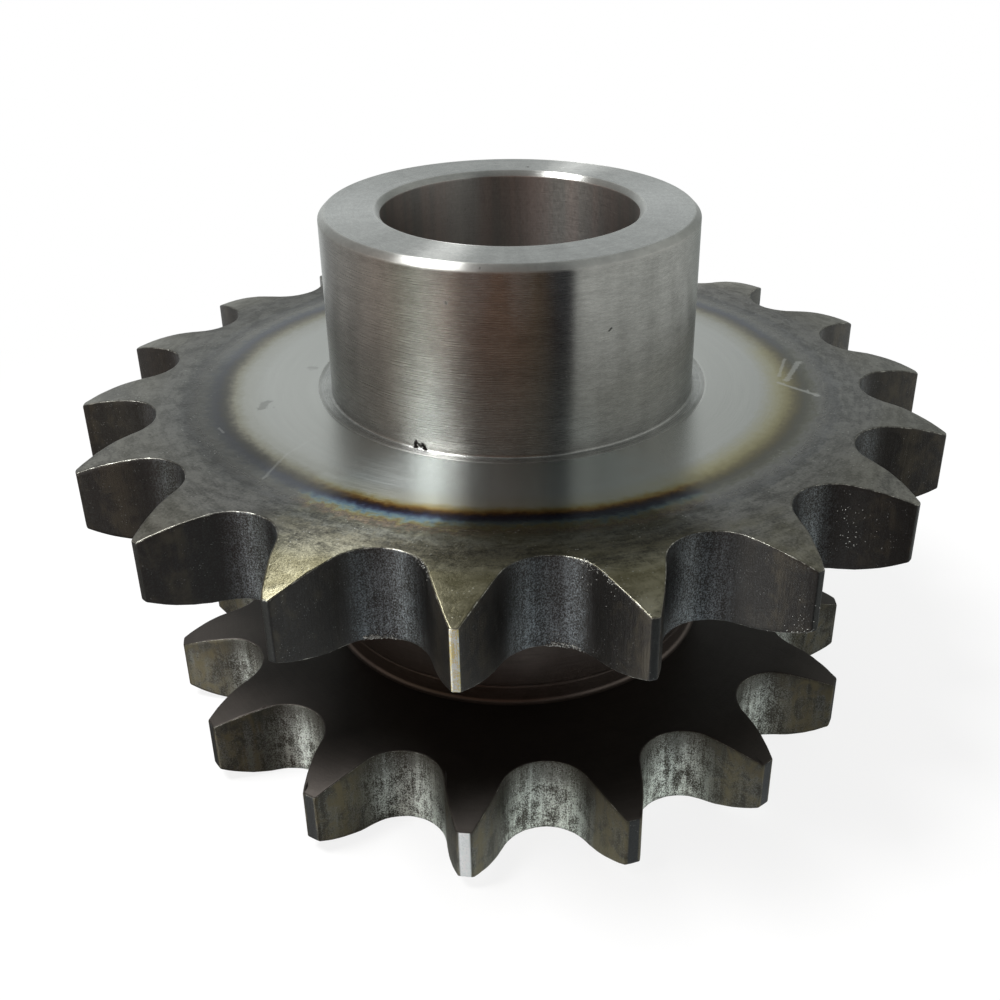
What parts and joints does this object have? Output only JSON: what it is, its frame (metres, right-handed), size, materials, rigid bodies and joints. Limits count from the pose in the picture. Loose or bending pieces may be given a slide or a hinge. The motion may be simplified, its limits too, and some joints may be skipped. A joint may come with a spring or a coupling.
{
  "type": "chain sprocket",
  "caption": "Double chain sprocket: a large and a smaller toothed ring joined by a plain neck, with a tall turned hub and a straight through bore.",
  "frame": {"origin": "axis of the bore on the lower ring's flat outer face, on which the sprocket stands", "axes": "+Z along the bore towards the hub's end face, -Y through the middle of one tooth of the large ring"},
  "size_m": [0.157, 0.1592, 0.0968],
  "materials": {
    "steel": "turned hub and disc, heat-tinted and scaled teeth"
  },
  "bodies": {
    "root": {"double_sprocket": "steel"}
  },
  "joints": []
}
